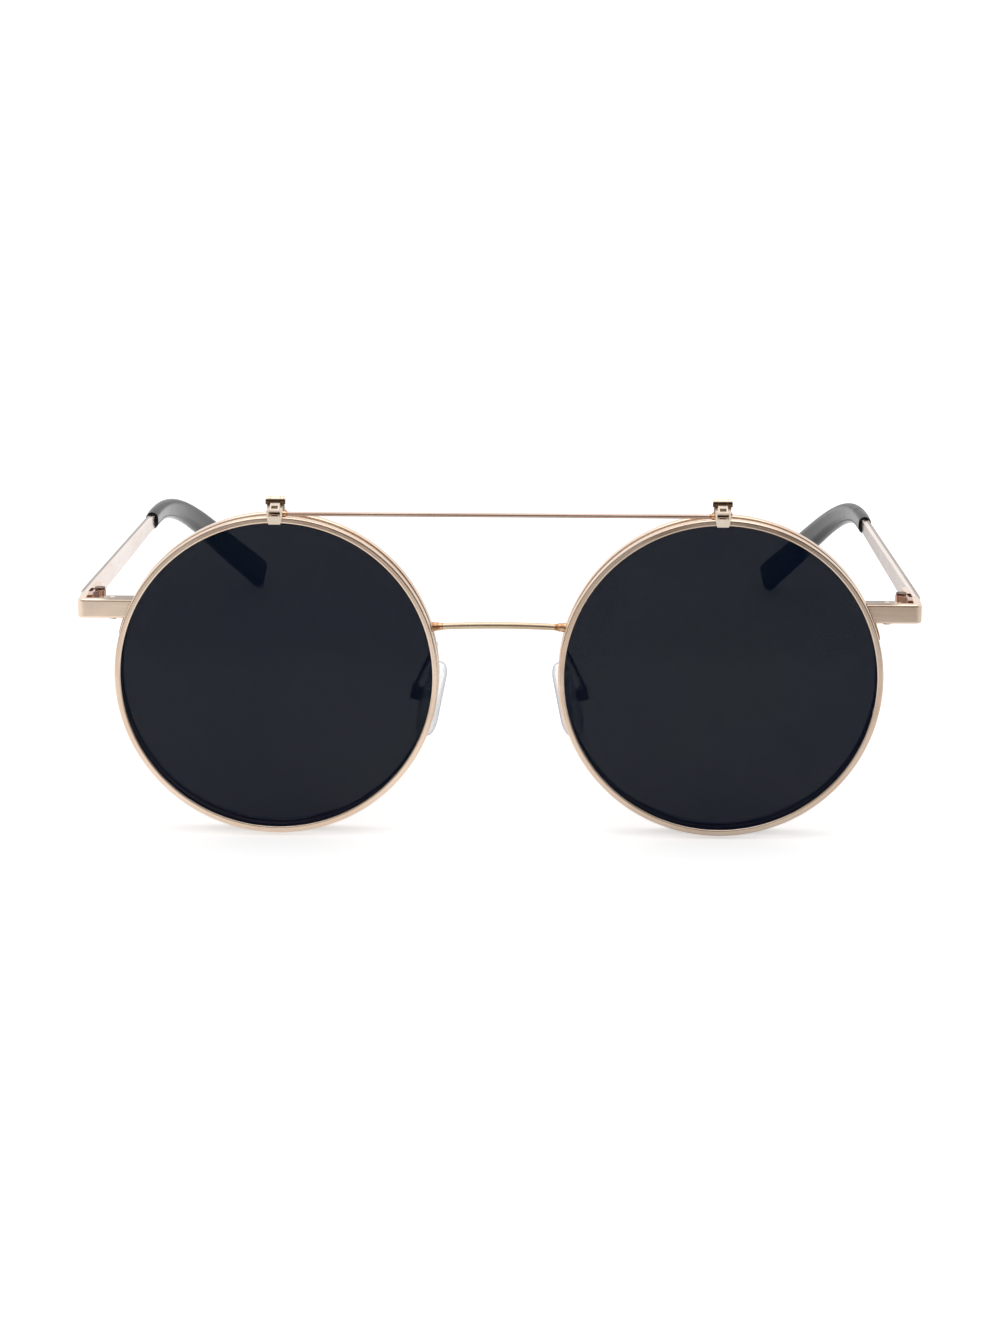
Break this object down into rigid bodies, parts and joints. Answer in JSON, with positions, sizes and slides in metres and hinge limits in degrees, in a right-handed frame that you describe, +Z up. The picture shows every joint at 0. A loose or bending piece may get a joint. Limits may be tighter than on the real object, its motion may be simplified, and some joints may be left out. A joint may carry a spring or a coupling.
{
  "type": "flip-up sunglasses",
  "caption": "Round wire-rim glasses with clear lenses and an outer front of dark lenses that flips up on top hinges, folding temples and rocking nose pads.",
  "frame": {"origin": "middle of the overall box at table level, the glasses standing open on their lower rims and temple tips", "axes": "+X to the viewer's right as seen from the front, +Y from the front towards the temple tips, +Z up"},
  "size_m": [0.1392, 0.137, 0.0564],
  "materials": {
    "rose_gold": "polished rose gold plating",
    "screw": "browned steel",
    "clear_lens": "clear polished",
    "dark_lens": "dark grey-blue polished",
    "black_tip": "glossy black",
    "silicone": "clear silicone",
    "pad_insert": "clear hard plastic"
  },
  "bodies": {
    "frame": {"bridge": "rose_gold", "base_rim_right": "rose_gold", "clear_lens_right": "clear_lens", "end_piece_right": "rose_gold", "rim_lock_upper_right": "rose_gold", "rim_lock_lower_right": "rose_gold", "rim_lock_screw_right": "screw", "front_hinge_right": "rose_gold", "hinge_screw_right": "screw", "flip_post_right": "rose_gold", "flip_pin_right": "screw", "pad_arm_right": "rose_gold", "pad_box_right": "rose_gold", "pad_screw_right": "screw", "base_rim_left": "rose_gold", "clear_lens_left": "clear_lens", "end_piece_left": "rose_gold", "rim_lock_upper_left": "rose_gold", "rim_lock_lower_left": "rose_gold", "rim_lock_screw_left": "screw", "front_hinge_left": "rose_gold", "hinge_screw_left": "screw", "flip_post_left": "rose_gold", "flip_pin_left": "screw", "pad_arm_left": "rose_gold", "pad_box_left": "rose_gold", "pad_screw_left": "screw"},
    "flip_front": {"top_bar": "rose_gold", "clip_rim_left": "rose_gold", "dark_lens_left": "dark_lens", "flip_arm_left": "rose_gold", "clip_rim_right": "rose_gold", "dark_lens_right": "dark_lens", "flip_arm_right": "rose_gold"},
    "temple_left": {"rear_hinge_left": "rose_gold", "temple_bar_left": "rose_gold", "temple_tip_left": "black_tip"},
    "pad_left": {"pad_insert_left": "pad_insert", "nose_pad_left": "silicone"},
    "temple_right": {"rear_hinge_right": "rose_gold", "temple_bar_right": "rose_gold", "temple_tip_right": "black_tip"},
    "pad_right": {"pad_insert_right": "pad_insert", "nose_pad_right": "silicone"}
  },
  "joints": [
    {"name": "flip_up", "type": "hinge", "parent": "frame", "child": "flip_front", "pos_m": [0, -0.06016, 0.05558], "axis": [-1, 0, 0], "range_deg": [0, 100]},
    {"name": "fold_left", "type": "hinge", "parent": "frame", "child": "temple_left", "pos_m": [-0.0666, -0.0536, 0.03635], "axis": [0, -0.0971, -0.9953], "range_deg": [0, 84]},
    {"name": "fold_right", "type": "hinge", "parent": "frame", "child": "temple_right", "pos_m": [0.0666, -0.0536, 0.03635], "axis": [0, 0.0971, 0.9953], "range_deg": [0, 78]},
    {"name": "rock_left", "type": "hinge", "parent": "frame", "child": "pad_left", "pos_m": [-0.01346, -0.05478, 0.02059], "axis": [0, -0.9953, 0.0971], "range_deg": [-7, 7]},
    {"name": "rock_right", "type": "hinge", "parent": "frame", "child": "pad_right", "pos_m": [0.01346, -0.05478, 0.02059], "axis": [0, 0.9953, -0.0971], "range_deg": [-7, 7]}
  ]
}
